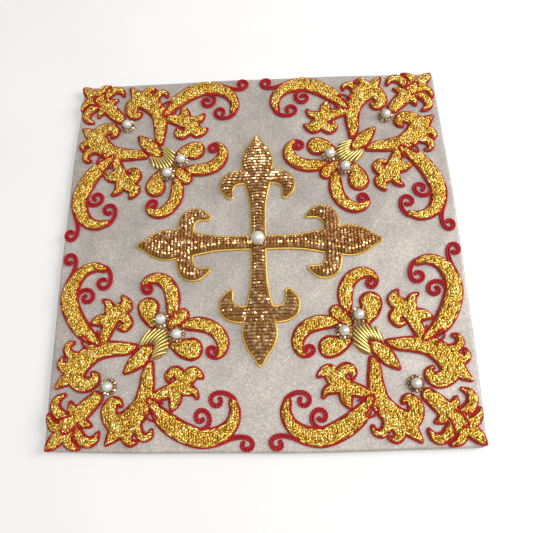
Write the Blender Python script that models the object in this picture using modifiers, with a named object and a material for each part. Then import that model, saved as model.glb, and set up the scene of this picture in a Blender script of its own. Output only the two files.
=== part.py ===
"""Chalice pall: a stiffened square of lame cloth with a padded cross and four corner sprays.

The square lies flat in the XY plane with its underside at z = 0 and its centre at the origin.
A padded cross fleury stands in the middle. Each corner carries a spray of padded goldwork:
a palmette, two scrolling branches, a flower of two horns and a bud, two petals, a leaf, a
wrapped knot and three pearls, each pearl in a ring of small beads.

Every padded piece is described by strokes. A stroke is a smooth line with a half-width that
changes along it, like a pen stroke, and a piece is the union of its strokes. The union is a
distance field worked out on a fine grid; its zero line is the piece's outline, and a line
further out is the route of a cord laid round it.

Run it with: blender --background --python part.py
"""

import math

import bmesh
import bpy
import numpy as np
from mathutils import Vector
from mathutils.geometry import delaunay_2d_cdt

# Tables and sizes are in millimetres. MM turns them into Blender's metres.
MM = 0.001
GAP = 0.3                # clearance between pieces that lie on or beside each other

# The stiffened square
CORNER_REACH = 85.0      # from the centre to a side, measured beside a corner
CORNER_RADIUS = 2.3
PANEL_THICKNESS = 3.0
PANEL_EDGE_ROUNDING = 0.9
SIDE_STEPS = 16
# The sides, anticlockwise from the east: (how far the middle bows out, how far the side
# wavers, half waves along it)
SIDES = [(1.5, 0.14, 2), (1.2, 0.16, 3), (1.5, 0.16, 3), (1.2, 0.14, 2)]
CLOTH_TOP = PANEL_THICKNESS + GAP

# Relief of the padded pieces: height of the rim, height over the padding, and how far in
# from the outline the padding reaches its full height
SPRAY_RELIEF = (0.8, 1.5, 3.6)
CROSS_RELIEF = (0.9, 2.5, 3.6)

# Beads
CROSS_PEARL_RADIUS = 3.0
CROSS_PEARL_LIFT = 2.65  # of the pearl's lowest point above the padding's underside
PEARL_RADIUS = 2.0
RING_RADIUS = 2.7        # from the ring's centre to the middle of its beads
RING_BEAD_RADIUS = 0.68
RING_BEADS = 9
RING_SIDES = 5
RING_BASE = 0.55         # from a ring's flat underside up to the middle of its beads
RING_WAIST = 0.72        # a bead's radius where it meets the next, as a share of its own

CROSS_CORD_RADIUS = 0.45

# Strokes. Each row is a place on the stroke and its half-width there: (u, v, half-width).
# For the cross, u runs to the side of an arm and v along it.
CROSS_ARM = [(0, -1, 2.5), (0, 12, 2.5), (0, 19, 2.9), (0, 25, 3.9), (0, 30, 5.0)]
CROSS_BULB = [(0, 31, 4.9), (0, 35, 5.0), (0, 39.2, 6.4), (0, 43.2, 5.3), (0, 47.6, 2.7), (0, 52.2, 0.45)]
CROSS_HOOK = [(2, 31.6, 2.8), (8.2, 31.9, 2.8), (12.5, 30.3, 2.9), (13.8, 26.5, 2.1), (12.2, 22.1, 0.45)]

# For a corner spray, u and v run from the square's centre to its east and north sides.
# The branch below runs out to the east side; its twin has u and v changed over.
BRANCH = {
    "stem": [(50.9, 44, 0.7), (54.2, 45, 2.1), (60.5, 45.2, 2.9), (67.5, 46.4, 3.7), (73, 51, 4.2),
             (75, 56, 3.7)],
    "leaf_curl": [(75.2, 57, 3.2), (72, 59.3, 3), (69, 59.7, 2.7), (66.7, 58.3, 2), (66.4, 56.3, 1.2),
                  (67.8, 55.1, 0.6)],
    "leaf_tip": [(75.6, 54, 3.6), (79, 57.6, 2.2), (82.3, 60.2, 0.45)],
    "leaf_side": [(75.6, 51.4, 3), (79.6, 52.4, 1.9), (81.6, 50.8, 1.3), (81.2, 48.2, 0.45)],
    "leaf_hook": [(73, 49.2, 2.6), (77.4, 47.6, 1.7), (79.6, 45.2, 1.4), (78.8, 42.9, 1), (77, 42.4, 0.45)],
    "scroll": [(65.4, 43.2, 0.8), (69.2, 41, 2.0), (73.8, 37, 3.2), (78.2, 30.4, 3.6), (80.6, 23, 3.4),
               (79.2, 15.9, 3), (75.3, 11.2, 2.3), (70.6, 9.7, 1.8), (66.8, 10.6, 1.2)],
    "inner_leaf": [(66.2, 44, 2), (63.9, 39.5, 2.1), (62.4, 34.6, 2.8), (59.2, 29.8, 2.8), (56, 27.4, 2.6),
                   (56.3, 24.9, 1.5), (57.6, 23, 0.45)],
    "inner_lobe": [(61.8, 31.6, 2.7), (62.5, 28.2, 1.9), (63.5, 26.0, 1.3), (65.6, 24.7, 0.45)],
    "inner_curl": [(61, 31.4, 2.5), (57.2, 31.9, 2.2), (54.9, 34.2, 2), (56.2, 36.5, 1.5),
                   (58.6, 36.6, 0.6)],
    "inner_tooth": [(64, 33.6, 2.7), (67, 33.7, 2), (69.8, 34.7, 0.5)],
    "scroll_eye": [(65.6, 10.9, 1), (63.5, 14.2, 1), (63.7, 17.2, 1), (65.2, 19.1, 1), (67.3, 19, 1),
                   (68.5, 17.3, 1), (67.9, 15.6, 1), (66.3, 15.2, 0.95)],
    "inner_eye": [(77.6, 25, 0.9), (77.1, 21.9, 1), (75.4, 20, 1), (72.8, 19.7, 1), (70.6, 21.3, 1),
                  (70.4, 23.8, 1), (72.2, 25.2, 1), (74.2, 24.4, 1), (74.1, 22.7, 0.95)],
    "side_curl": [(82.2, 15.8, 1), (80.6, 12, 1), (79.8, 8.4, 1), (80.2, 5.2, 1), (81.8, 3.5, 1),
                  (83.7, 3.8, 1), (84.5, 5.5, 1), (83.8, 7.2, 0.95), (82.3, 7.2, 0.9)],
}
BUD = [(36.8, 36.8, 1.1), (34.6, 34.6, 2.5), (31.9, 31.9, 2.6)]
HORN = [(34.8, 33.2, 1.5), (35.9, 29.2, 2.2), (35.9, 25, 2.7), (37.0, 20.4, 2.7), (39.7, 16.7, 2.6),
        (43.4, 15.0, 2.2), (46.8, 15.5, 1.6), (48.9, 17.2, 0.9)]
HORN_CURL = [(49.1, 17.2, 1), (49, 19.8, 1), (47.6, 21.3, 1), (45.8, 20.9, 1), (45.3, 19.3, 1),
             (46.3, 18.2, 0.9)]
PETAL = [(43.9, 36.3, 0.5), (44.9, 33.4, 2.2), (45.9, 30.2, 3.6), (46.1, 28.1, 4.2)]
LEAF = [(44.2, 44.2, 0.5), (46.4, 46.4, 2.5), (49.4, 49.4, 3.2), (52.4, 52.4, 2.1), (54.9, 54.9, 0.45)]
PALMETTE_STALK = [(65.2, 65.2, 2.5), (68.8, 68.8, 3.1), (73.6, 73.6, 3.3), (78.4, 78.4, 2.7),
                  (81.4, 81.4, 2.2), (83.7, 83.7, 0.45)]
PALMETTE_SIDE = {
    "tooth": [(72, 71.2, 2.4), (74.5, 68.9, 1.5), (75.5, 66.5, 0.45)],
    "hook": [(76, 73.6, 2.4), (79, 71.2, 2), (81, 69.1, 1.9), (81.6, 67.1, 1.8), (81, 65.2, 1.4),
             (79.6, 64.1, 0.9), (78.2, 63.5, 0.45)],
    "lobe": [(78.4, 76.3, 2.3), (81.5, 75, 1.8), (83.1, 73.1, 1.2), (83.9, 70.8, 0.45)],
}
KNOT = [(48.5, 42.6, 1.2), (46.9, 41.2, 2), (44.3, 40, 2.6), (40.6, 40.6, 3.2), (40, 44.3, 2.6),
        (41.2, 46.9, 2), (42.6, 48.5, 1.2)]
KNOT_HEIGHT = 2.6
KNOT_RIBS = 10
KNOT_RIB_DEPTH = 0.35

# Places of the pearls in a spray, and the height of what each lies on above the cloth
PEARLS = {"right": (40.2, 33.8, 1.25), "left": (33.8, 40.2, 1.25), "outer": (60.8, 60.8, 0.0)}
# Corners: the angle a spray is turned by, and how far it was worked out of true, in mm
CORNERS = {"ne": (0, -0.6, 0.5), "nw": (90, -0.6, 0.4), "sw": (180, -0.2, 0.0), "se": (270, 0.0, 0.0)}

# How finely shapes are worked out
STROKE_STEP = 0.7        # between the stations of a stroke
FIELD_STEP = 0.3         # between the points of the distance field
OUTLINE_TOLERANCE = 0.2  # how far a thinned outline may leave the true one
RIDGE_STEP = 5.0         # between the padding's high points along a stroke
RIDGE_DEPTH = 1.1        # the least distance from the outline to a high point
SMALLEST_LOOP = 1.0      # square millimetres; anything smaller is no part of an outline

# Colour, metallic and roughness
MATERIALS = {
    "cloth": ((0.52, 0.48, 0.44), 0.35, 0.42),
    "gold": ((0.83, 0.52, 0.09), 1.0, 0.3),
    "cross_gold": ((0.52, 0.28, 0.11), 1.0, 0.3),
    "cord_gold": ((0.85, 0.6, 0.16), 1.0, 0.28),
    "bead": ((0.5, 0.3, 0.14), 1.0, 0.25),
    "pearl": ((0.86, 0.84, 0.78), 0.0, 0.15),
}


def clear_scene():
    """Removes whatever the open file shows."""
    for obj in list(bpy.data.objects):
        bpy.data.objects.remove(obj)


def make_material(name):
    """The Principled material of that name from the table."""
    colour, metallic, roughness = MATERIALS[name]
    material = bpy.data.materials.new(name)
    material.use_nodes = True
    shader = material.node_tree.nodes["Principled BSDF"]
    shader.inputs["Base Color"].default_value = (*colour, 1.0)
    shader.inputs["Metallic"].default_value = metallic
    shader.inputs["Roughness"].default_value = roughness
    material.diffuse_color = (*colour, 1.0)
    return material


def smooth_line(rows, step):
    """Points a step apart on the smooth curve through the rows, whatever their columns hold."""
    rows = np.array(rows, float)
    lengths = np.hypot(*(rows[1:, :2] - rows[:-1, :2]).T)
    places = np.concatenate([[0.0], np.cumsum(lengths)])
    inner = (rows[2:] - rows[:-2]) / (places[2:] - places[:-2])[:, None]
    first = (rows[1] - rows[0]) / lengths[0]
    last = (rows[-1] - rows[-2]) / lengths[-1]
    slopes = np.vstack([first, inner, last])
    line = []
    for k, length in enumerate(lengths):
        count = max(1, math.ceil(length / step))
        for t in np.arange(count) / count:
            line.append(
                rows[k] * (2 * t**3 - 3 * t**2 + 1)
                + slopes[k] * length * (t**3 - 2 * t**2 + t)
                + rows[k + 1] * (3 * t**2 - 2 * t**3)
                + slopes[k + 1] * length * (t**3 - t**2)
            )
    return np.array(line + [rows[-1]])


def swapped(rows):
    """The same stroke on the other side of the corner's diagonal."""
    return [(v, u, half_width) for u, v, half_width in rows]


def mirrored(rows):
    """The same stroke on the other side of a cross arm."""
    return [(-u, v, half_width) for u, v, half_width in rows]


def turned(rows, quarter_turns):
    """The stroke turned about the origin by quarter turns."""
    for _ in range(quarter_turns):
        rows = [(-v, u, half_width) for u, v, half_width in rows]
    return rows


def distance_field(strokes, margin=3.0):
    """Distances to the union of strokes on a grid, negative inside, with the grid's corner."""
    lines = [smooth_line(rows, STROKE_STEP) for rows in strokes]
    everywhere = np.vstack(lines)
    reach = everywhere[:, 2].max() + margin
    low = everywhere[:, :2].min(0) - reach
    high = everywhere[:, :2].max(0) + reach
    us = np.arange(low[0], high[0], FIELD_STEP)
    vs = np.arange(low[1], high[1], FIELD_STEP)
    grid_u, grid_v = np.meshgrid(us, vs, indexing="ij")
    field = np.full(grid_u.shape, 1e9)
    for line in lines:
        for (u0, v0, w0), (u1, v1, w1) in zip(line[:-1], line[1:]):
            du, dv = u1 - u0, v1 - v0
            t = ((grid_u - u0) * du + (grid_v - v0) * dv) / max(du * du + dv * dv, 1e-9)
            t = np.clip(t, 0, 1)
            gap = np.hypot(grid_u - u0 - t * du, grid_v - v0 - t * dv) - (w0 + t * (w1 - w0))
            np.minimum(field, gap, out=field)
    return field, low


def level_loops(field, low, level):
    """The closed lines where the field equals level, each with its inside on the left."""
    inside = field < level
    mixed = (
        inside[:-1, :-1].astype(int) + inside[1:, :-1] + inside[1:, 1:] + inside[:-1, 1:]
    )
    follow = {}
    for i, j in np.argwhere((mixed > 0) & (mixed < 4)):
        corners = [(i, j), (i + 1, j), (i + 1, j + 1), (i, j + 1)]
        leaves = []
        enters = []
        for a, b in zip(corners, corners[1:] + corners[:1]):
            if inside[a] and not inside[b]:
                leaves.append(tuple(sorted((a, b))))
            elif inside[b] and not inside[a]:
                enters.append(tuple(sorted((a, b))))
        middle_inside = np.mean([field[c] for c in corners]) < level
        if len(leaves) == 2 and middle_inside != inside[corners[0]]:
            enters.reverse()
        follow.update(zip(leaves, enters))
    loops = []
    while follow:
        start = edge = next(iter(follow))
        loop = []
        while True:
            a, b = edge
            t = (level - field[a]) / (field[b] - field[a])
            loop.append(low + FIELD_STEP * (np.array(a) + t * (np.array(b) - np.array(a))))
            edge = follow.pop(edge)
            if edge == start:
                break
        loops.append(np.array(loop))
    return loops


def area(loop):
    """The area inside a closed line."""
    after = np.roll(loop, -1, axis=0)
    return abs(float((loop[:, 0] * after[:, 1] - loop[:, 1] * after[:, 0]).sum() / 2))


def thinned(line, tolerance):
    """The fewest points of an open line that keep it within the tolerance."""
    start, end = line[0], line[-1]
    run = end - start
    length = math.hypot(*run)
    if length < 1e-9:
        offsets = np.hypot(*(line - start).T)
    else:
        offsets = np.abs(run[0] * (line[:, 1] - start[1]) - run[1] * (line[:, 0] - start[0])) / length
    far = int(offsets.argmax())
    if offsets[far] <= tolerance or len(line) < 3:
        return [start, end]
    return thinned(line[: far + 1], tolerance)[:-1] + thinned(line[far:], tolerance)


def thinned_loop(loop, tolerance):
    """A closed line thinned from its two furthest points."""
    half = int(np.hypot(*(loop - loop[0]).T).argmax())
    there = thinned(loop[: half + 1], tolerance)
    back = thinned(np.vstack([loop[half:], loop[:1]]), tolerance)
    return np.array(there[:-1] + back[:-1])


def outlines(strokes, level=0.0, tolerance=OUTLINE_TOLERANCE):
    """The thinned outlines of the union of strokes, and the field they come from."""
    field, low = distance_field(strokes)
    loops = [loop for loop in level_loops(field, low, level) if area(loop) > SMALLEST_LOOP]
    return [thinned_loop(loop, tolerance) for loop in loops], (field, low)


def depth_at(point, field_and_low):
    """How far inside the outline a point lies."""
    field, low = field_and_low
    i, j = ((np.array(point) - low) / FIELD_STEP).round().astype(int)
    return -float(field[i, j])


def within(point, loops):
    """True if the point is inside the loops, by how often a ray from it crosses them."""
    u, v = point
    crossings = 0
    for loop in loops:
        after = np.roll(loop, -1, axis=0)
        spans = (loop[:, 1] > v) != (after[:, 1] > v)
        a, b = loop[spans], after[spans]
        crossings += int((a[:, 0] + (v - a[:, 1]) * (b[:, 0] - a[:, 0]) / (b[:, 1] - a[:, 1]) > u).sum())
    return crossings % 2 == 1


def triangles_of(loops, high_points):
    """Points and triangles that fill the loops and pass through the high points."""
    points = [Vector(p) for loop in loops for p in loop] + [Vector(p) for p in high_points]
    edges = []
    first = 0
    for loop in loops:
        count = len(loop)
        edges += [(first + k, first + (k + 1) % count) for k in range(count)]
        first += count
    made = delaunay_2d_cdt(points, edges, [], 0, 1e-6)
    kept = [f for f in made[2] if within(sum((made[0][i] for i in f), Vector((0, 0))) / 3, loops)]
    return made[0], kept


def high_points_of(strokes, field_and_low):
    """Points along the strokes where the padding stands high, apart from each other."""
    chosen = []
    for rows in strokes:
        for u, v, _ in smooth_line(rows, RIDGE_STEP):
            clear = all(math.hypot(u - p[0], v - p[1]) > RIDGE_STEP * 0.45 for p in chosen)
            if clear and depth_at((u, v), field_and_low) > RIDGE_DEPTH:
                chosen.append((u, v))
    return chosen


def pad_mesh(name, strokes, relief):
    """A padded piece: flat underneath, with an upright rim and a crown over its strokes."""
    rim, crown, full_depth = relief
    loops, field_and_low = outlines(strokes)
    highs = high_points_of(strokes, field_and_low)
    top_points, top_faces = triangles_of(loops, highs)
    border = sum(len(loop) for loop in loops)
    bm = bmesh.new()
    top = []
    for k, point in enumerate(top_points):
        rise = 0.0 if k < border else min(1.0, depth_at(point, field_and_low) / full_depth)
        top.append(bm.verts.new((point.x * MM, point.y * MM, (rim + (crown - rim) * rise) * MM)))
    bottom = [bm.verts.new((v.co.x, v.co.y, 0.0)) for v in top[:border]]
    for face in top_faces:
        bm.faces.new([top[i] for i in face])
    for face in triangles_of(loops, [])[1]:
        bm.faces.new([bottom[i] for i in reversed(face)])
    first = 0
    for loop in loops:
        count = len(loop)
        for k in range(count):
            a, b = first + k, first + (k + 1) % count
            bm.faces.new([top[a], bottom[a], bottom[b], top[b]])
        first += count
    bmesh.ops.recalc_face_normals(bm, faces=bm.faces)
    mesh = bpy.data.meshes.new(name)
    bm.to_mesh(mesh)
    bm.free()
    return mesh


def knot_mesh(name):
    """The wrapped knot: a curved pad whose laid threads stand up as ribs across it."""
    line = smooth_line(KNOT, 0.1)
    lengths = np.concatenate([[0.0], np.cumsum(np.hypot(*np.diff(line[:, :2], axis=0).T))])
    stations = KNOT_RIBS * 2 + 1
    bm = bmesh.new()
    rings = []
    for k in range(stations):
        place = lengths[-1] * k / (stations - 1)
        u, v, half = (np.interp(place, lengths, line[:, c]) for c in range(3))
        ahead = np.interp(place + 0.2, lengths, line[:, 0]) - np.interp(place - 0.2, lengths, line[:, 0])
        aside = np.interp(place + 0.2, lengths, line[:, 1]) - np.interp(place - 0.2, lengths, line[:, 1])
        across = Vector((-aside, ahead)).normalized()
        height = KNOT_HEIGHT * math.sqrt(half / KNOT[3][2]) - (KNOT_RIB_DEPTH if k % 2 == 0 else 0.0)
        section = [(-1, 0), (-0.92, 0.45), (-0.45, 0.92), (0.45, 0.92), (0.92, 0.45), (1, 0)]
        ring = [
            bm.verts.new(((u + across.x * half * s) * MM, (v + across.y * half * s) * MM, height * z * MM))
            for s, z in section
        ]
        rings.append(ring)
    for ring, after in zip(rings[:-1], rings[1:]):
        for k in range(len(ring)):
            n = (k + 1) % len(ring)
            bm.faces.new([ring[k], ring[n], after[n], after[k]])
    bm.faces.new(rings[0])
    bm.faces.new(rings[-1])
    bmesh.ops.recalc_face_normals(bm, faces=bm.faces)
    mesh = bpy.data.meshes.new(name)
    bm.to_mesh(mesh)
    bm.free()
    return mesh


def ball_mesh(name, radius, segments, rings):
    """A round bead with its centre at the object's origin."""
    bm = bmesh.new()
    bmesh.ops.create_uvsphere(bm, u_segments=segments, v_segments=rings, radius=radius * MM)
    mesh = bpy.data.meshes.new(name)
    bm.to_mesh(mesh)
    bm.free()
    mesh.shade_smooth()
    return mesh


def bead_ring_mesh(name):
    """Small beads threaded in a ring: a torus whose section swells at each bead."""
    stations = RING_BEADS * 2
    bm = bmesh.new()
    rings = []
    for k in range(stations):
        around = 2 * math.pi * k / stations
        radius = RING_BEAD_RADIUS * (1.0 if k % 2 == 0 else RING_WAIST)
        ring = []
        for s in range(RING_SIDES):
            angle = 2 * math.pi * (s + 0.25) / RING_SIDES
            out = RING_RADIUS + radius * math.cos(angle)
            place = Vector((out * math.cos(around), out * math.sin(around), radius * math.sin(angle)))
            ring.append(bm.verts.new(place * MM))
        rings.append(ring)
    for k, ring in enumerate(rings):
        after = rings[(k + 1) % stations]
        for s in range(RING_SIDES):
            n = (s + 1) % RING_SIDES
            bm.faces.new([ring[s], after[s], after[n], ring[n]])
    bmesh.ops.recalc_face_normals(bm, faces=bm.faces)
    mesh = bpy.data.meshes.new(name)
    bm.to_mesh(mesh)
    bm.free()
    return mesh


def add_object(name, data, material, parent=None, place=(0, 0, 0)):
    """Puts a mesh or curve in the pall's collection, placed in millimetres."""
    obj = bpy.data.objects.new(name, data)
    obj.location = Vector(place) * MM
    obj.parent = parent
    if not data.materials:
        data.materials.append(material)
    bpy.data.collections["chalice_pall"].objects.link(obj)
    return obj


def closed_curve(name, points, closed_depth):
    """A closed polygonal curve through 2D points; a bevel depth makes it a cord."""
    curve = bpy.data.curves.new(name, "CURVE")
    curve.dimensions = "3D" if closed_depth else "2D"
    spline = curve.splines.new("POLY")
    spline.points.add(len(points) - 1)
    for target, (u, v) in zip(spline.points, points):
        target.co = (u * MM, v * MM, 0, 1)
    spline.use_cyclic_u = True
    curve.bevel_depth = closed_depth * MM
    return curve


def panel_outline():
    """The square's outline: four bowed, slightly wavering sides with round corners."""
    points = []
    straight = CORNER_REACH - CORNER_RADIUS
    for quarter, (middle, waver, half_waves) in enumerate(SIDES):
        around = []
        for k in range(SIDE_STEPS + 1):
            t = -1 + 2 * k / SIDE_STEPS
            bow = (1 - t * t) * (middle + waver * math.sin(math.pi * half_waves * t))
            around.append((CORNER_REACH + bow, t * straight))
        for k in range(1, 4):
            angle = math.radians(90 * k / 4)
            around.append(
                (straight + CORNER_RADIUS * math.cos(angle), straight + CORNER_RADIUS * math.sin(angle))
            )
        points += [(u, v) for u, v, _ in turned([(u, v, 0) for u, v in around], quarter)]
    return points


def make_panel(material):
    """The stiffened square, with a soft edge all round."""
    curve = closed_curve("panel", panel_outline(), 0)
    curve.fill_mode = "BOTH"
    curve.extrude = PANEL_THICKNESS / 2 * MM
    flat = bpy.data.objects.new("panel_outline", curve)
    bpy.context.scene.collection.objects.link(flat)
    mesh = bpy.data.meshes.new_from_object(flat.evaluated_get(bpy.context.evaluated_depsgraph_get()))
    bpy.data.objects.remove(flat)
    bm = bmesh.new()
    bm.from_mesh(mesh)
    bmesh.ops.remove_doubles(bm, verts=bm.verts, dist=0.01 * MM)
    bmesh.ops.dissolve_limit(bm, angle_limit=math.radians(1), verts=bm.verts, edges=bm.edges)
    bm.to_mesh(mesh)
    bm.free()
    mesh.materials.clear()
    panel = add_object("panel", mesh, material, place=(0, 0, PANEL_THICKNESS / 2))
    rounding = panel.modifiers.new("soft_edge", "BEVEL")
    rounding.width = PANEL_EDGE_ROUNDING * MM
    rounding.segments = 2
    rounding.limit_method = "ANGLE"
    rounding.angle_limit = math.radians(60)
    return panel


def cross_strokes():
    """All strokes of the cross: one arm's, mirrored and turned to the four arms."""
    arm = [CROSS_ARM, CROSS_BULB, CROSS_HOOK, mirrored(CROSS_HOOK)]
    return [turned(rows, quarter) for quarter in range(4) for rows in arm]


def make_cross(materials):
    """The padded cross, the cord laid round it and the pearl at its centre."""
    strokes = cross_strokes()
    add_object("cross_pad", pad_mesh("cross_pad", strokes, CROSS_RELIEF), materials["cross_gold"],
               place=(0, 0, CLOTH_TOP))
    route = outlines(strokes, level=CROSS_CORD_RADIUS + GAP + OUTLINE_TOLERANCE)[0][0]
    cord = closed_curve("cross_cord", route, CROSS_CORD_RADIUS)
    cord.bevel_resolution = 0
    add_object("cross_cord", cord, materials["cord_gold"], place=(0, 0, CLOTH_TOP + CROSS_CORD_RADIUS))
    pearl = ball_mesh("cross_pearl", CROSS_PEARL_RADIUS, 14, 9)
    add_object("cross_pearl", pearl, materials["pearl"],
               place=(0, 0, CLOTH_TOP + CROSS_PEARL_LIFT + CROSS_PEARL_RADIUS))


def spray_meshes():
    """One mesh for each kind of padded piece in a corner spray, by name."""
    branch = list(BRANCH.values())
    horn = [HORN, HORN_CURL]
    side = list(PALMETTE_SIDE.values())
    shapes = {
        "palmette": [PALMETTE_STALK] + side + [swapped(rows) for rows in side],
        "branch_right": branch,
        "branch_left": [swapped(rows) for rows in branch],
        "flower": [BUD] + horn + [swapped(rows) for rows in horn],
        "petal_right": [PETAL],
        "petal_left": [swapped(PETAL)],
        "leaf": [LEAF],
    }
    return {name: pad_mesh(name, strokes, SPRAY_RELIEF) for name, strokes in shapes.items()}


def make_spray(corner, meshes, knot, pearl, bead_ring, materials):
    """One corner's goldwork, on an empty turned to that corner."""
    angle, east, north = CORNERS[corner]
    anchor = bpy.data.objects.new("corner_" + corner, None)
    anchor.rotation_euler.z = math.radians(angle)
    anchor.location = (east * MM, north * MM, 0)
    bpy.data.collections["chalice_pall"].objects.link(anchor)
    for name, mesh in meshes.items():
        add_object(f"{name}_{corner}", mesh, materials["gold"], anchor, (0, 0, CLOTH_TOP))
    add_object(f"knot_{corner}", knot, materials["cord_gold"], anchor, (0, 0, CLOTH_TOP))
    for name, (u, v, lift) in PEARLS.items():
        seat = CLOTH_TOP + lift
        add_object(f"bead_ring_{name}_{corner}", bead_ring, materials["bead"], anchor,
                   (u, v, seat + RING_BASE))
        add_object(f"pearl_{name}_{corner}", pearl, materials["pearl"], anchor, (u, v, seat + PEARL_RADIUS))


def main():
    clear_scene()
    bpy.context.scene.collection.children.link(bpy.data.collections.new("chalice_pall"))
    materials = {name: make_material(name) for name in MATERIALS}
    make_panel(materials["cloth"])
    make_cross(materials)
    meshes = spray_meshes()
    knot = knot_mesh("knot")
    pearl = ball_mesh("pearl", PEARL_RADIUS, 10, 7)
    bead_ring = bead_ring_mesh("bead_ring")
    for corner in CORNERS:
        make_spray(corner, meshes, knot, pearl, bead_ring, materials)


main()
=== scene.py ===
"""The looks of a chalice pall: lame cloth, goldwork chips, red cord, cut purl, satin and pearls.

Lengths in the tables and in the geometry are millimetres; MM turns them into Blender's metres.
A stroke is a smooth line with a half-width that changes along it. A padded piece is the union
of its strokes, held as a distance field, from which come its outline, the cords laid round it
and the height of its padding.
"""

import math

import bpy
import numpy as np
from mathutils import Matrix, Vector
from mathutils.geometry import delaunay_2d_cdt

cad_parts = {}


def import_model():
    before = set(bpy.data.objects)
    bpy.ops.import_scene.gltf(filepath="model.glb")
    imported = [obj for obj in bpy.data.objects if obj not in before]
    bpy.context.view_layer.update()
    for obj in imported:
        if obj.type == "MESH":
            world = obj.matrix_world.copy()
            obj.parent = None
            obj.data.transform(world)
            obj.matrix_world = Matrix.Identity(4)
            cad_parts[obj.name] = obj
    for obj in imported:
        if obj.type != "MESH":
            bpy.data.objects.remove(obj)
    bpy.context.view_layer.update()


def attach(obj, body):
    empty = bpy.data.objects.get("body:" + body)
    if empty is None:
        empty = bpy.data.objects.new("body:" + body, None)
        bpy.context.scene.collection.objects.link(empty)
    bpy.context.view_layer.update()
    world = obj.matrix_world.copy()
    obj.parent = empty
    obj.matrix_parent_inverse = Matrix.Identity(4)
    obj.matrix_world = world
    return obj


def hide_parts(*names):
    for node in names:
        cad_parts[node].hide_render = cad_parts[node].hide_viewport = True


MM = 0.001

# The square of cloth, as the solid has it
CORNER_REACH = 85.0
CORNER_RADIUS = 2.3
# Sides, anticlockwise from the east: (bow at the middle, waver, half waves)
SIDES = [(1.5, 0.14, 2), (1.2, 0.16, 3), (1.5, 0.16, 3), (1.2, 0.14, 2)]
CLOTH = 3.0              # height of the cloth's face
TOP_ROUNDING = 1.3
UNDER_ROUNDING = 0.9
CLOTH_STEP = 1.2
CLOTH_RELIEF = 0.13      # of the cloth's soft unevenness
# Insets of the rings along the cloth's edge
EDGE_RINGS = [0, 0.1, 0.3, 0.6, 0.95, 1.3, 1.9, 2.8, 3.9]

# Strokes: rows of (u, v, half-width)
CROSS_ARM = [(0, -1, 2.5), (0, 12, 2.5), (0, 19, 2.9), (0, 25, 3.9), (0, 30, 5.0)]
CROSS_BULB = [(0, 31, 4.9), (0, 35, 5.0), (0, 39.2, 6.4), (0, 43.2, 5.3), (0, 47.6, 2.7), (0, 52.2, 0.45)]
CROSS_HOOK = [(2, 31.6, 2.8), (8.2, 31.9, 2.8), (12.5, 30.3, 2.9), (13.8, 26.5, 2.1), (12.2, 22.1, 0.45)]
BRANCH = [
    [(50.9, 44, 0.7), (54.2, 45, 2.1), (60.5, 45.2, 2.9), (67.5, 46.4, 3.7), (73, 51, 4.2), (75, 56, 3.7)],
    [(75.2, 57, 3.2), (72, 59.3, 3), (69, 59.7, 2.7), (66.7, 58.3, 2), (66.4, 56.3, 1.2),
     (67.8, 55.1, 0.6)],
    [(75.6, 54, 3.6), (79, 57.6, 2.2), (82.3, 60.2, 0.45)],
    [(75.6, 51.4, 3), (79.6, 52.4, 1.9), (81.6, 50.8, 1.3), (81.2, 48.2, 0.45)],
    [(73, 49.2, 2.6), (77.4, 47.6, 1.7), (79.6, 45.2, 1.4), (78.8, 42.9, 1), (77, 42.4, 0.45)],
    [(65.4, 43.2, 0.8), (69.2, 41, 2.0), (73.8, 37, 3.2), (78.2, 30.4, 3.6), (80.6, 23, 3.4),
     (79.2, 15.9, 3), (75.3, 11.2, 2.3), (70.6, 9.7, 1.8), (66.8, 10.6, 1.2)],
    [(66.2, 44, 2), (63.9, 39.5, 2.1), (62.4, 34.6, 2.8), (59.2, 29.8, 2.8), (56, 27.4, 2.6),
     (56.3, 24.9, 1.5), (57.6, 23, 0.45)],
    [(61.8, 31.6, 2.7), (62.5, 28.2, 1.9), (63.5, 26.0, 1.3), (65.6, 24.7, 0.45)],
    [(61, 31.4, 2.5), (57.2, 31.9, 2.2), (54.9, 34.2, 2), (56.2, 36.5, 1.5), (58.6, 36.6, 0.6)],
    [(64, 33.6, 2.7), (67, 33.7, 2), (69.8, 34.7, 0.5)],
]
BUD = [(36.8, 36.8, 1.1), (34.6, 34.6, 2.5), (31.9, 31.9, 2.6)]
HORN = [(34.8, 33.2, 1.5), (35.9, 29.2, 2.2), (35.9, 25, 2.7), (37, 20.4, 2.7), (39.7, 16.7, 2.6),
        (43.4, 15, 2.2), (46.8, 15.5, 1.6), (48.9, 17.2, 0.9)]
PETAL = [(43.9, 36.3, 0.5), (44.9, 33.4, 2.2), (45.9, 30.2, 3.6), (46.1, 28.1, 4.2)]
LEAF = [(44.2, 44.2, 0.5), (46.4, 46.4, 2.5), (49.4, 49.4, 3.2), (52.4, 52.4, 2.1), (54.9, 54.9, 0.45)]
PALMETTE_STALK = [(65.2, 65.2, 2.5), (68.8, 68.8, 3.1), (73.6, 73.6, 3.3), (78.4, 78.4, 2.7),
                  (81.4, 81.4, 2.2), (83.7, 83.7, 0.45)]
PALMETTE_SIDE = [
    [(72, 71.2, 2.4), (74.5, 68.9, 1.5), (75.5, 66.5, 0.45)],
    [(76, 73.6, 2.4), (79, 71.2, 2), (81, 69.1, 1.9), (81.6, 67.1, 1.8), (81, 65.2, 1.4), (79.6, 64.1, 0.9),
     (78.2, 63.5, 0.45)],
    [(78.4, 76.3, 2.3), (81.5, 75, 1.8), (83.1, 73.1, 1.2), (83.9, 70.8, 0.45)],
]
KNOT = [(48.5, 42.6, 1.2), (46.9, 41.2, 2), (44.3, 40, 2.6), (40.6, 40.6, 3.2), (40, 44.3, 2.6),
        (41.2, 46.9, 2), (42.6, 48.5, 1.2)]

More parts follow.
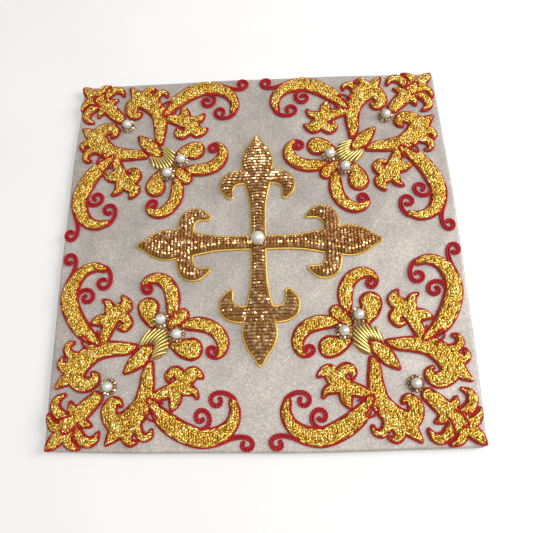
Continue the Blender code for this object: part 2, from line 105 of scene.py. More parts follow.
# Curls of doubled red cord that leave the goldwork, along their middle line
BRANCH_CURLS = [
    [(66.4, 9.4), (64.5, 11.6), (63.5, 14.2), (63.7, 17.2), (65.2, 19.1), (67.3, 19), (68.5, 17.3),
     (67.9, 15.6), (66.3, 15.2), (65.3, 16.1)],
    [(77.4, 27.4), (77.6, 24.6), (77.1, 21.9), (75.4, 20), (72.8, 19.7), (70.6, 21.3), (70.4, 23.8),
     (72.2, 25.2), (74.2, 24.4), (74.1, 22.7), (73, 22.1)],
    [(83, 18.4), (82.2, 15.8), (80.6, 12), (79.8, 8.4), (80.2, 5.2), (81.8, 3.5), (83.7, 3.8), (84.5, 5.5),
     (83.8, 7.2), (82.3, 7.2), (81.7, 6.3)],
]
HORN_CURLS = [
    [(48.4, 15.6), (49.3, 17.4), (49, 19.8), (47.6, 21.3), (45.8, 20.9), (45.3, 19.3), (46.3, 18.2),
     (47.4, 18.9)],
]
# Cords laid over the goldwork to part one form from the next
BRANCH_LINES = [
    [(67.5, 37.6), (66.2, 40.4), (65.2, 42.8), (65.2, 44), (66.4, 44.2), (68.6, 43), (70.9, 41.4),
     (73, 39.7)],
    [(73, 39.7), (73.6, 41.6), (73, 43.4), (71.2, 45), (69.6, 45.4)],
]
FLOWER_LINES = [[(37.6, 35.8), (36.9, 34), (36.1, 32.5), (35.1, 31.2), (33.9, 30.2)]]
PALMETTE_ARCH = [
    [(70, 76), (71.8, 75.6), (73.6, 76.8), (75.4, 78), (77.2, 78.2), (77.8, 76.8), (77.4, 75.4)],
]
PALMETTE_LINES = [[(73.6, 71.2), (76, 72), (78.4, 72.6), (80.6, 72.8)]]

# Padding: height of the rim, height of the crown and how far in the crown is reached
SPRAY_RELIEF = (0.35, 1.25, 3.4)
CROSS_RELIEF = (0.45, 2.05, 3.4)
KNOT_RELIEF = (0.3, 1.6, 2.8)

# Corners: the angle a spray is turned by, how far it was worked out of true, and a seed
CORNERS = {
    "ne": (0, -0.6, 0.5, 11),
    "nw": (90, -0.6, 0.4, 23),
    "sw": (180, -0.2, 0.0, 37),
    "se": (270, 0.0, 0.0, 41),
}
WOBBLE = 0.24            # how far hand work strays within a spray

# Pearls of a spray: (u, v, height of what the ring of beads lies on above the cloth)
PEARLS = {"right": (40.2, 33.8, 1.55), "left": (33.8, 40.2, 1.55), "outer": (60.8, 60.8, 0.05)}
PEARL_RADIUS = 2.18
CROSS_PEARL_RADIUS = 3.0
CROSS_PEARL_HEIGHT = 8.9
RING_RADIUS = 2.75
BEAD_RADIUS = 0.86
RING_BEADS = 12

# Threads
RED_RADIUS = 0.57
RED_LEVEL = 0.1          # of the cord's middle outside the padding's outline
PETAL_RED_LEVEL = 0.25
RED_HEIGHT = 0.55        # of its middle above the cloth
LINE_LIFT = 0.85         # of a parting cord's middle above the padding
CORD_STEP = 0.44
CURL_RADIUS = 0.58
CURL_REACH = 0.52        # of a doubled cord's two runs from their middle line
RED_PITCH = 2.5
GOLD_CORD_RADIUS = 0.54
GOLD_CORD_PITCH = 2.4
CHIP_RADIUS = 0.46
CHIP_SPACING = 1.08
CHIP_SIDES = 5
CHIP_STRAY = 0.26        # of a chip from its place in the pattern
CHIP_SHARES = (0.72, 0.92)      # of the chips lie north; from there up to this, across the stroke
CHIP_HALVES = (0.9, 1.5)        # half a chip's length, least and most
CHIP_INSET = 0.4         # the least depth inside the outline of a chip's middle
PURL_RADIUS = 0.71
PURL_SPACING = 1.44
PURL_BEAD = 1.15
PURL_PLACES = (0.2, 0.8, 1.0)   # of a bead's two shoulders and its neck along it
PURL_SIDES = 7
PURL_ROLLS = (0.7, 0.18)        # radians: rows that run east lie edge up, rows that run north face up
PURL_ROLL_SPREADS = (0.12, 0.2)
PURL_INSET = 0.15        # the least depth inside the outline that a row reaches
PURL_SHORTEST = 0.9      # row that is still sewn on
PURL_NECK = 0.76         # a bead's radius at its neck, as a share of its own
ROD_RADIUS = 0.54
ROD_SPACING = 1.2
ROD_BEND = 0.3           # how far a rod bows to its side
KNOT_SLANT = (62, 15)    # of the rods at the two ends of the knot, in degrees

STROKE_STEP = 0.6
FIELD_STEP = 0.2
FIELD_REACH = 7.5        # from a stroke's middle, as far as its distance is worked out


# ---- lines, fields and outlines ----


def smooth_line(rows, step):
    """Points a step apart on the smooth curve through the rows, whatever their columns hold."""
    rows = np.array(rows, float)
    lengths = np.hypot(*(rows[1:, :2] - rows[:-1, :2]).T)
    places = np.concatenate([[0.0], np.cumsum(lengths)])
    inner = (rows[2:] - rows[:-2]) / (places[2:] - places[:-2])[:, None]
    slopes = np.vstack([(rows[1] - rows[0]) / lengths[0], inner, (rows[-1] - rows[-2]) / lengths[-1]])
    line = []
    for k, length in enumerate(lengths):
        count = max(1, math.ceil(length / step))
        for t in np.arange(count) / count:
            line.append(
                rows[k] * (2 * t**3 - 3 * t**2 + 1)
                + slopes[k] * length * (t**3 - 2 * t**2 + t)
                + rows[k + 1] * (3 * t**2 - 2 * t**3)
                + slopes[k + 1] * length * (t**3 - t**2)
            )
    return np.array(line + [rows[-1]])


def swapped(strokes):
    """The same strokes on the other side of the corner's diagonal."""
    return [[(row[1], row[0], *row[2:]) for row in rows] for rows in strokes]


def turned(rows, quarters):
    """A stroke turned about the origin by quarter turns."""
    for _ in range(quarters):
        rows = [(-v, u, w) for u, v, w in rows]
    return rows


def doubled(line, reach):
    """The closed path of a cord that runs up one side of a line and back down the other."""
    path = smooth_line(line, 0.3)
    ahead = np.gradient(path, axis=0)
    ahead /= np.linalg.norm(ahead, axis=1)[:, None]
    aside = np.stack([-ahead[:, 1], ahead[:, 0]], 1) * reach
    return np.vstack([path + aside, (path - aside)[::-1]])


def run_lengths(path, closed=False):
    """The distance along a path at each of its points, and at its end if it is closed."""
    if closed:
        path = np.vstack([path, path[:1]])
    return np.concatenate([[0.0], np.cumsum(np.linalg.norm(np.diff(path, axis=0), axis=1))])


def resampled(path, step, closed=False):
    """The path again with its points a step apart."""
    places = run_lengths(path, closed)
    ring = np.vstack([path, path[:1]]) if closed else path
    count = max(3, round(places[-1] / step))
    wanted = np.arange(count + (0 if closed else 1)) * places[-1] / count
    return np.stack([np.interp(wanted, places, ring[:, c]) for c in range(ring.shape[1])], 1)


def softened(path, rounds, closed=True):
    """The path with its small steps averaged out."""
    for _ in range(rounds):
        mean = (np.roll(path, 1, 0) + 2 * path + np.roll(path, -1, 0)) / 4
        if not closed:
            mean[0] = path[0]
            mean[-1] = path[-1]
        path = mean
    return path


class Shape:
    """The union of strokes as a distance field, with the padding's relief over it."""

    def __init__(self, strokes, relief):
        self.rim, self.crown, self.full = relief
        self.lines = [smooth_line(rows, STROKE_STEP) for rows in strokes]
        stations = np.vstack(self.lines)
        margin = stations[:, 2].max() + 2.5
        self.low = stations[:, :2].min(0) - margin
        high = stations[:, :2].max(0) + margin
        us = np.arange(self.low[0], high[0], FIELD_STEP)
        vs = np.arange(self.low[1], high[1], FIELD_STEP)
        grid_u, grid_v = np.meshgrid(us, vs, indexing="ij")
        self.field = np.full(grid_u.shape, 99.0)
        for line in self.lines:
            for (u0, v0, w0), (u1, v1, w1) in zip(line[:-1], line[1:]):
                near = np.minimum([u0, v0], [u1, v1]) - self.low - FIELD_REACH
                far = np.maximum([u0, v0], [u1, v1]) - self.low + FIELD_REACH
                i0, j0 = (near / FIELD_STEP).astype(int).clip(0)
                i1, j1 = (far / FIELD_STEP).astype(int)
                part = (slice(i0, i1), slice(j0, j1))
                du, dv = u1 - u0, v1 - v0
                t = ((grid_u[part] - u0) * du + (grid_v[part] - v0) * dv) / max(du * du + dv * dv, 1e-9)
                t = np.clip(t, 0, 1)
                away = np.hypot(grid_u[part] - u0 - t * du, grid_v[part] - v0 - t * dv)
                gap = away - (w0 + t * (w1 - w0))
                self.field[part] = np.minimum(self.field[part], gap)

    def depth(self, points):
        """How far inside the outline each point lies."""
        at = (np.asarray(points)[:, :2] - self.low) / FIELD_STEP
        at = np.clip(at, 0, np.array(self.field.shape) - 1.001)
        i, j = at.astype(int).T
        s, t = (at - at.astype(int)).T
        f = self.field
        mixed = f[i, j] * (1 - s) * (1 - t) + f[i + 1, j] * s * (1 - t) + f[i, j + 1] * (1 - s) * t
        return -(mixed + f[i + 1, j + 1] * s * t)

    def height(self, points):
        """Height of the padding above the cloth at each point."""
        rise = np.clip(self.depth(points) / self.full, 0, 1)
        return self.rim + (self.crown - self.rim) * np.sqrt(1 - (1 - rise) ** 2)

    def edge_direction(self, points):
        """The direction that runs alongside the outline at each point."""
        step = 0.3
        slope_u = self.depth(points + [step, 0]) - self.depth(points - [step, 0])
        slope_v = self.depth(points + [0, step]) - self.depth(points - [0, step])
        size = np.maximum(np.hypot(slope_u, slope_v), 1e-6)
        return np.stack([-slope_v / size, slope_u / size], 1)

    def stroke_direction(self, points):
        """The direction of the nearest stroke at each point."""
        middles = np.vstack([(line[1:, :2] + line[:-1, :2]) / 2 for line in self.lines])
        runs = np.vstack([line[1:, :2] - line[:-1, :2] for line in self.lines])
        nearest = ((points[:, None, :] - middles[None]) ** 2).sum(2).argmin(1)
        return runs[nearest] / np.linalg.norm(runs[nearest], axis=1)[:, None]

    def loops(self, level):
        """The closed lines a distance outside the outline, each with its inside on the left."""
        inside = self.field < level
        mixed = inside[:-1, :-1].astype(int) + inside[1:, :-1] + inside[1:, 1:] + inside[:-1, 1:]
        follow = {}
        for i, j in np.argwhere((mixed > 0) & (mixed < 4)).tolist():
            corners = [(i, j), (i + 1, j), (i + 1, j + 1), (i, j + 1)]
            leaves = []
            enters = []
            for a, b in zip(corners, corners[1:] + corners[:1]):
                if inside[a] and not inside[b]:
                    leaves.append((min(a, b), max(a, b)))
                elif inside[b] and not inside[a]:
                    enters.append((min(a, b), max(a, b)))
            if len(leaves) == 2:
                joined = np.mean([self.field[c] for c in corners]) < level
                if joined != inside[corners[0]]:
                    enters.reverse()
            follow.update(zip(leaves, enters))
        found = []
        while follow:
            start = edge = next(iter(follow))
            loop = []
            while True:
                a, b = edge
                t = (level - self.field[a]) / (self.field[b] - self.field[a])
                loop.append(self.low + FIELD_STEP * (np.array(a) + t * (np.array(b) - np.array(a))))
                edge = follow.pop(edge)
                if edge == start:
                    break
            if len(loop) > 20:
                found.append(np.array(loop))
        return found


# ---- meshes ----


class Pile:
    """Vertices, faces and one number per vertex of many small pieces, for one mesh."""

    def __init__(self):
        self.vertices = []
        self.faces = []
        self.tones = []
        self.slots = []
        self.count = 0

    def add(self, vertices, faces, tones, slot=0):
        """vertices (n, 3), faces as lists of vertex numbers, tones (n,)."""
        self.vertices.append(vertices)
        self.faces += [[i + self.count for i in face] for face in faces]
        self.tones.append(np.broadcast_to(tones, len(vertices)))
        self.slots += [slot] * len(faces)
        self.count += len(vertices)

    def object(self, name, materials, smooth, flipped=False):
        """The pile as an object. flipped turns the faces of a mirrored piece the right way."""
        mesh = bpy.data.meshes.new(name)
        faces = [face[::-1] for face in self.faces] if flipped else self.faces
        mesh.from_pydata((np.vstack(self.vertices) * MM).tolist(), [], faces)
        tone = mesh.attributes.new("tone", "FLOAT", "POINT")
        tone.data.foreach_set("value", np.concatenate(self.tones).astype(np.float32))
        for material in materials:
            mesh.materials.append(material)
        mesh.polygons.foreach_set("material_index", self.slots)
        mesh.polygons.foreach_set("use_smooth", [smooth] * len(mesh.polygons))
        mesh.update()
        obj = bpy.data.objects.new(name, mesh)
        bpy.context.scene.collection.objects.link(obj)
        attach(obj, "root")
        return obj


def tube_faces(stations, sides, closed):
    """Faces of a tube of so many rings, with flat caps if it is open."""
    faces = []
    for i in range(stations if closed else stations - 1):
        a = i * sides
        b = (i + 1) % stations * sides
        faces += [[a + k, a + (k + 1) % sides, b + (k + 1) % sides, b + k] for k in range(sides)]
    if not closed:
        faces += [list(range(sides))[::-1], [(stations - 1) * sides + k for k in range(sides)]]
    return faces


def tube(path, radii, turns, closed=False):
    """A tube's vertices: radii and turns (the ring's angles) have one row a station."""
    if closed:
        ahead = np.roll(path, -1, 0) - np.roll(path, 1, 0)
    else:
        ahead = np.gradient(path, axis=0)
    ahead /= np.linalg.norm(ahead, axis=1)[:, None]
    side = np.stack([-ahead[:, 1], ahead[:, 0], np.zeros(len(path))], 1)
    side /= np.maximum(np.linalg.norm(side, axis=1), 1e-9)[:, None]
    up = np.cross(ahead, side)
    sideways = side[:, None, :] * (radii * np.cos(turns))[:, :, None]
    upwards = up[:, None, :] * (radii * np.sin(turns))[:, :, None]
    return (path[:, None, :] + (sideways + upwards)).reshape(-1, 3)


def add_twisted_cord(pile, path, radius, pitch, plies, sides, closed=False, dent=0.16):
    """Adds a cord of twisted plies along the path. Its tone is 1 on a ply and 0 between two."""
    places = run_lengths(path, closed)
    length = places[-1]
    if closed:
        places = places[:-1]
        pitch = length * plies / max(1, round(length * plies / pitch))
    around = 2 * math.pi * np.arange(sides) / sides
    turn = 2 * math.pi * places / pitch
    lobe = np.cos(plies * (around[None, :] - turn[:, None]))
    radii = radius * (1 - dent + dent * lobe)
    if not closed:
        from_end = np.minimum(places, length - places) / radius
        radii = radii * np.sqrt(np.clip(0.15 + from_end, 0, 1))[:, None]
    vertices = tube(path, radii, np.broadcast_to(around, radii.shape), closed)
    # The tone carries painted shade: the cord materials darken their colour where it is low, between the
    # plies.
    pile.add(vertices, tube_faces(len(path), sides, closed), (0.5 + 0.5 * lobe).ravel())


def within(points, loops):
    """For each point, whether it is inside the loops."""
    crossings = np.zeros(len(points), int)
    for loop in loops:
        after = np.roll(loop, -1, 0)
        for (u0, v0), (u1, v1) in zip(loop, after):
            if v0 != v1:
                spans = (points[:, 1] < v0) != (points[:, 1] < v1)
                crossings += spans & (points[:, 0] < u0 + (points[:, 1] - v0) * (u1 - u0) / (v1 - v0))
    return crossings % 2 == 1


def add_padding(pile, shape, place, spacing=0.9):
    """Adds the padding's surface: a skin over the shape that turns down at its outline."""
    loops = [resampled(loop, 0.6, True) for loop in shape.loops(0.1)]
    us = np.arange(shape.low[0], shape.low[0] + shape.field.shape[0] * FIELD_STEP, spacing)
    vs = np.arange(shape.low[1], shape.low[1] + shape.field.shape[1] * FIELD_STEP, spacing * 0.866)
    grid = np.stack(np.meshgrid(us, vs, indexing="ij"), 2)
    grid[:, ::2, 0] += spacing / 2
    grid = grid.reshape(-1, 2)
    grid = grid[shape.depth(grid) > 0.35]
    edges = []
    first = 0
    for loop in loops:
        edges += [(first + k, first + (k + 1) % len(loop)) for k in range(len(loop))]
        first += len(loop)
    points = [Vector(p) for p in np.vstack(loops + [grid])]
    made = delaunay_2d_cdt(points, edges, [], 0, 1e-5)
    flat = np.array([tuple(p) for p in made[0]])
    faces = np.array(made[2])
    faces = faces[within(flat[faces].mean(1), loops)]
    heights = np.where(np.arange(len(flat)) < first, 0.0, shape.height(flat))
    pile.add(place(np.column_stack([flat, CLOTH + heights])), faces.tolist(), 0.5)


def add_chips(pile, shape, place, north, rng, slot=0):
    """Adds short cut chips of metal wire laid close over the padding, more of them lying to the north."""
    extent = np.array(shape.field.shape) * FIELD_STEP
    us = np.arange(0, extent[0], CHIP_SPACING)
    vs = np.arange(0, extent[1], CHIP_SPACING * 0.866)
    grid = np.stack(np.meshgrid(us, vs, indexing="ij"), 2)
    grid[:, ::2, 0] += CHIP_SPACING / 2
    points = shape.low + grid.reshape(-1, 2) + rng.uniform(-CHIP_STRAY, CHIP_STRAY, (grid.size // 2, 2))
    points = points[shape.depth(points) > CHIP_INSET]
    count = len(points)
    stroke = shape.stroke_direction(points)
    across = np.arctan2(stroke[:, 1], stroke[:, 0]) + 1.25 + rng.normal(0, 0.3, count)
    northward = north + rng.normal(0, 0.22, count)
    share = rng.uniform(0, 1, count)
    loose = rng.uniform(0, math.pi, count)
    angle = np.where(share < CHIP_SHARES[0], northward, np.where(share < CHIP_SHARES[1], across, loose))
    ahead = np.stack([np.cos(angle), np.sin(angle)], 1)
    half = rng.uniform(*CHIP_HALVES, count)
    beside = shape.edge_direction(points)
    for shrink in (1.0, 0.7, 0.7):
        arm = ahead * half[:, None]
        ends = np.minimum(shape.depth(points + arm), shape.depth(points - arm))
        over = ends < CHIP_INSET - 0.12
        ahead[over] = beside[over]
        half[over] *= shrink
    radius = CHIP_RADIUS * rng.uniform(0.85, 1.1, count)
    lift = rng.uniform(0, 0.2, count)
    stations = []
    for reach, rise in ((-1, 0.0), (0, 0.07), (1, 0.0)):
        spot = points + ahead * (half * reach)[:, None]
        high = CLOTH + shape.height(spot) + radius * 0.55 + lift + rise
        stations.append(place(np.column_stack([spot, high])))
    path = np.stack(stations, 1)
    roll = rng.uniform(0, math.pi, count)
    run = path[:, 2] - path[:, 0]
    run /= np.linalg.norm(run, axis=1)[:, None]
    side = np.stack([-run[:, 1], run[:, 0], np.zeros(count)], 1)
    side /= np.linalg.norm(side, axis=1)[:, None]
    up = np.cross(run, side)
    vertices = np.zeros((count, 3, CHIP_SIDES, 3))
    for k in range(CHIP_SIDES):
        turn = roll + 2 * math.pi * k / CHIP_SIDES
        offset = (side * np.cos(turn)[:, None] + up * np.sin(turn)[:, None]) * radius[:, None]
        vertices[:, :, k] = path + offset[:, None, :]
    pattern = tube_faces(3, CHIP_SIDES, False)
    faces = [[i + n * 3 * CHIP_SIDES for i in face] for n in range(count) for face in pattern]
    tones = np.repeat(rng.uniform(0, 1, count), 3 * CHIP_SIDES)
    pile.add(vertices.reshape(-1, 3), faces, tones, slot)


def add_ball(pile, centre, axis, radius, around, along, squash, hole, tone=0.5):
    """Adds a drilled ball: squash shortens it along its axis, hole is a dimple's width at its ends."""
    turn = Vector((0, 0, 1)).rotation_difference(Vector(axis)).to_matrix()
    latitudes = np.linspace(-math.acos(hole), math.acos(hole), along + 1)
    rings = [(radius * math.cos(a), radius * squash * math.sin(a)) for a in latitudes]
    deep = radius * 0.35
    (first, low), (last, high) = rings[0], rings[-1]
    rings = [(first * 0.9, low + deep), *rings, (last * 0.9, high - deep)]
    angles = 2 * math.pi * np.arange(around) / around
    vertices = np.array([(r * math.cos(a), r * math.sin(a), z) for r, z in rings for a in angles])
    vertices = vertices @ np.array(turn).T + np.array(centre)
    pile.add(vertices, tube_faces(len(rings), around, False), tone)


# ---- materials ----


class Nodes:
    """Short names for building a procedural Principled material."""

    def __init__(self, name):
        self.material = bpy.data.materials.new(name)
        self.material.use_nodes = True
        self.tree = self.material.node_tree
        self.shader = self.tree.nodes["Principled BSDF"]
        coordinates = self.tree.nodes.new("ShaderNodeTexCoord")
        self.place = coordinates.outputs["Object"]

    def link(self, source, target):
        self.tree.links.new(source, target)

    def set(self, **values):
        """Values of the shader's own sockets, their spaces written as underscores."""
        for name, value in values.items():
            self.shader.inputs[name.replace("_", " ")].default_value = value

    def noise(self, per_mm, detail=2.0, roughness=0.5, distortion=0.0):
        node = self.tree.nodes.new("ShaderNodeTexNoise")
        node.inputs["Scale"].default_value = per_mm / MM
        node.inputs["Detail"].default_value = detail
        node.inputs["Roughness"].default_value = roughness
        node.inputs["Distortion"].default_value = distortion
        self.link(self.place, node.inputs["Vector"])
        return node.outputs["Fac"]

    def cells(self, per_mm):
        """A random value for each small cell of space."""
        node = self.tree.nodes.new("ShaderNodeTexVoronoi")
        node.inputs["Scale"].default_value = per_mm / MM
        self.link(self.place, node.inputs["Vector"])
        split = self.tree.nodes.new("ShaderNodeSeparateColor")
        self.link(node.outputs["Color"], split.inputs["Color"])
        return split.outputs["Red"]

    def threads(self, direction, per_mm, distortion=0.0):
        """Ridges of parallel threads across X or Y."""
        node = self.tree.nodes.new("ShaderNodeTexWave")
        node.bands_direction = direction
        node.inputs["Scale"].default_value = per_mm / MM / 3.2
        node.inputs["Distortion"].default_value = distortion
        node.inputs["Detail"].default_value = 1.0
        self.link(self.place, node.inputs["Vector"])
        return node.outputs["Fac"]

    def tone(self):
        node = self.tree.nodes.new("ShaderNodeAttribute")
        node.attribute_name = "tone"
        return node.outputs["Fac"]

    def maths(self, operation, a, b):
        node = self.tree.nodes.new("ShaderNodeMath")
        node.operation = operation
        for socket, value in zip(node.inputs, (a, b)):
            if isinstance(value, (int, float)):
                socket.default_value = value
            else:
                self.link(value, socket)
        return node.outputs["Value"]

    def ramp(self, factor, stops):
        """Colours by factor; stops are (position, (r, g, b))."""
        node = self.tree.nodes.new("ShaderNodeValToRGB")
        elements = node.color_ramp.elements
        while len(elements) < len(stops):
            elements.new(0.5)
        for element, (position, colour) in zip(elements, stops):
            element.position = position
            element.color = (*colour, 1.0)
        self.link(factor, node.inputs["Fac"])
        return node.outputs["Color"]

    def span(self, factor, low, high):
        """A factor from 0 to 1 stretched to run from low to high."""
        node = self.tree.nodes.new("ShaderNodeMapRange")
        node.inputs["To Min"].default_value = low
        node.inputs["To Max"].default_value = high
        self.link(factor, node.inputs["Value"])
        return node.outputs["Result"]

    def colour(self, colour):
        self.link(colour, self.shader.inputs["Base Color"])

    def roughness(self, factor):
        self.link(factor, self.shader.inputs["Roughness"])

    def bump(self, height, distance_mm, strength=1.0, under=None):
        """A bump map; under is another one that it is laid over."""
        node = self.tree.nodes.new("ShaderNodeBump")
        node.inputs["Strength"].default_value = strength
        node.inputs["Distance"].default_value = distance_mm * MM
        self.link(height, node.inputs["Height"])
        if under is not None:
            self.link(under, node.inputs["Normal"])
        self.link(node.outputs["Normal"], self.shader.inputs["Normal"])
        return node.outputs["Normal"]


def lame_cloth():
    """Silvery champagne lame: fine weave, with a mottled sheen and small warm glints painted into its
    colour.
    """
    n = Nodes("lame_cloth")
    sheen_patches = n.noise(0.055, 3.0, 0.55, 0.4)
    glints = n.noise(1.5, 2.0, 0.65)
    shade = n.maths("ADD", n.maths("MULTIPLY", sheen_patches, 0.34), n.maths("MULTIPLY", glints, 0.66))
    # Painted sheen: the colour ramp paints the cloth's mottled sheen and its small warm glints into its
    # colour.
    n.colour(n.ramp(shade, [
        (0.34, (0.34, 0.31, 0.28)), (0.5, (0.46, 0.42, 0.385)), (0.66, (0.66, 0.60, 0.53)),
    ]))
    n.set(Metallic=0.24, Sheen_Weight=0.15, Sheen_Roughness=0.4)
    n.roughness(n.span(sheen_patches, 0.34, 0.5))
    weave = n.maths("ADD", n.threads("X", 3.4, 0.3), n.threads("Y", 3.4, 0.3))
    cloth = n.bump(n.noise(0.9, 3.0, 0.65), 0.05)
    n.bump(weave, 0.018, 0.8, cloth)
    return n.material


def gold_chip_metal():
    """Bright cut wire whose colour changes from chip to chip."""
    n = Nodes("gold_chip_metal")
    n.colour(n.ramp(n.tone(), [
        (0.0, (0.52, 0.245, 0.01)), (0.4, (0.74, 0.41, 0.025)), (0.8, (0.92, 0.63, 0.12)),
        (1.0, (1.0, 0.85, 0.38)),
    ]))
    n.set(Metallic=0.84, Coat_Weight=0.7, Coat_Roughness=0.07)
    n.roughness(n.span(n.cells(0.9), 0.15, 0.27))
    n.bump(n.noise(2.2, 2.0, 0.6), 0.035, 0.5)
    return n.material


def gold_felt():
    """The dull yellow felt under the chips."""
    n = Nodes("gold_felt")
    n.colour(n.ramp(n.noise(0.8, 2.0), [(0.3, (0.38, 0.18, 0.012)), (0.7, (0.58, 0.30, 0.03))]))
    n.set(Roughness=0.7)
    n.bump(n.noise(4.0, 2.0), 0.06)
    return n.material


def red_silk():
    """Twisted red silk, with painted shade darkening its colour between its plies."""
    n = Nodes("red_silk")
    # Painted shade: the tone darkens the colour between the plies, and a noise varies it along the cord.
    ply_shade_and_mottle = n.maths("MULTIPLY", n.tone(), n.span(n.noise(0.35, 3.0), 0.7, 1.15))
    n.colour(n.ramp(ply_shade_and_mottle, [
        (0.05, (0.22, 0.003, 0.007)), (0.5, (0.38, 0.005, 0.011)), (0.95, (0.66, 0.012, 0.024)),
    ]))
    n.set(Roughness=0.5, Sheen_Weight=0.02, Sheen_Roughness=0.4, Specular_IOR_Level=0.25)
    n.bump(n.noise(5.0, 2.0, 0.6), 0.05, 0.6)
    return n.material


def copper_purl():
    """Faceted copper-gold purl, each bead a little different."""
    n = Nodes("copper_purl")
    n.colour(n.ramp(n.tone(), [
        (0.0, (0.42, 0.18, 0.035)), (0.55, (0.57, 0.275, 0.07)), (1.0, (0.94, 0.68, 0.40)),
    ]))
    n.set(Metallic=0.95, Coat_Weight=0.6, Coat_Roughness=0.05, Coat_IOR=1.9)
    n.roughness(n.span(n.cells(0.8), 0.11, 0.22))
    n.bump(n.noise(3.0, 2.0), 0.02, 0.4)
    return n.material


def bright_gold(name, dark, light, metallic, roughness):
    """Smooth bright gilt thread, with painted shade: darker between a cord's plies and under a rod, lighter
    on top.
    """
    n = Nodes(name)
    # Painted shade and highlight: the tone runs the colour from dark, between a cord's plies and on a rod's
    # underside, to light on the plies and on a rod's top.
    n.colour(n.ramp(n.tone(), [(0.05, dark), (0.8, light)]))
    n.set(Metallic=metallic, Coat_Weight=0.4, Coat_Roughness=0.08)
    n.roughness(n.span(n.noise(0.7, 2.0), roughness - 0.05, roughness + 0.08))
    n.bump(n.noise(4.0, 2.0), 0.03, 0.5)
    return n.material


def brown_felt():
    """Golden-brown felt under purl and rods, its dark colour partly the felt's own and partly painted shade
    for the gaps between them.
    """
    n = Nodes("brown_felt")
    # Partly painted shade: the felt is darkened to stand for the shade in the gaps between purl rows and
    # rods.
    n.colour(n.ramp(n.noise(1.2, 2.0), [(0.3, (0.30, 0.155, 0.04)), (0.7, (0.48, 0.27, 0.08))]))
    n.set(Roughness=0.7)
    n.bump(n.noise(4.0, 2.0), 0.05)
    return n.material


def pearl_lustre():
    """White pearl with a cream cast and a soft coat."""
    n = Nodes("pearl_lustre")
    n.colour(n.ramp(n.noise(0.28, 3.0, 0.55, 0.5), [(0.3, (0.66, 0.64, 0.58)), (0.6, (0.80, 0.80, 0.78))]))
    n.set(Metallic=0.4, Coat_Weight=0.9, Coat_Roughness=0.07)
    n.set(Subsurface_Weight=0.08, Subsurface_Scale=0.001)
    n.roughness(n.span(n.noise(0.5, 2.0), 0.24, 0.36))
    n.bump(n.noise(1.6, 2.0), 0.012, 0.5)
    return n.material


def seed_bead():
    """Faceted copper-gold glass beads with a metal lining."""
    n = Nodes("seed_bead")
    n.colour(n.ramp(n.tone(), [
        (0.0, (0.30, 0.155, 0.055)), (0.6, (0.60, 0.37, 0.165)), (1.0, (0.94, 0.76, 0.52)),
    ]))
    n.set(Metallic=0.9, Coat_Weight=0.5, Coat_Roughness=0.05)
    n.roughness(n.span(n.noise(1.1, 2.0), 0.12, 0.3))
    n.bump(n.noise(2.4, 1.0), 0.03, 0.5)
    return n.material


def studio_floor():
    """A pale matt floor."""
    n = Nodes("studio_floor")
    n.colour(n.ramp(n.noise(0.02, 2.0), [(0.3, (0.89, 0.89, 0.89)), (0.7, (0.92, 0.92, 0.92))]))
    n.set(Roughness=0.9, Specular_IOR_Level=0.1)
    return n.material


# ---- pieces ----


def cloth_outline():
    """The square's outline from the middle of its south-west corner, anticlockwise."""
    straight = CORNER_REACH - CORNER_RADIUS
    sides = []
    for quarter, (middle, waver, half_waves) in enumerate(SIDES):
        t = np.linspace(-1, 1, 161)
        bow = (1 - t * t) * (middle + waver * np.sin(math.pi * half_waves * t))
        line = np.stack([CORNER_REACH + bow, t * straight], 1)
        before = np.radians(np.linspace(-45, 0, 9))[:-1]
        after = np.radians(np.linspace(0, 45, 9))[1:]
        start = CORNER_RADIUS * np.stack([np.cos(before), np.sin(before)], 1) + [straight, -straight]
        end = CORNER_RADIUS * np.stack([np.cos(after), np.sin(after)], 1) + [straight, straight]
        side = np.vstack([start, line, end])
        for _ in range(quarter):
            side = np.stack([-side[:, 1], side[:, 0]], 1)
        sides.append(side)
    return sides


def unevenness(points, rng):
    """The soft unevenness of stretched cloth at each point, from -1 to 1 or so."""
    total = np.zeros(len(points))
    for wavelength, share in ((38, 0.5), (24, 0.5), (15, 0.45), (9.5, 0.35), (6.2, 0.22)):
        for _ in range(3):
            angle, phase = rng.uniform(0, 2 * math.pi, 2)
            along = points[:, 0] * math.cos(angle) + points[:, 1] * math.sin(angle)
            total += share / 1.7 * np.sin(2 * math.pi * along / wavelength + phase)
    return total


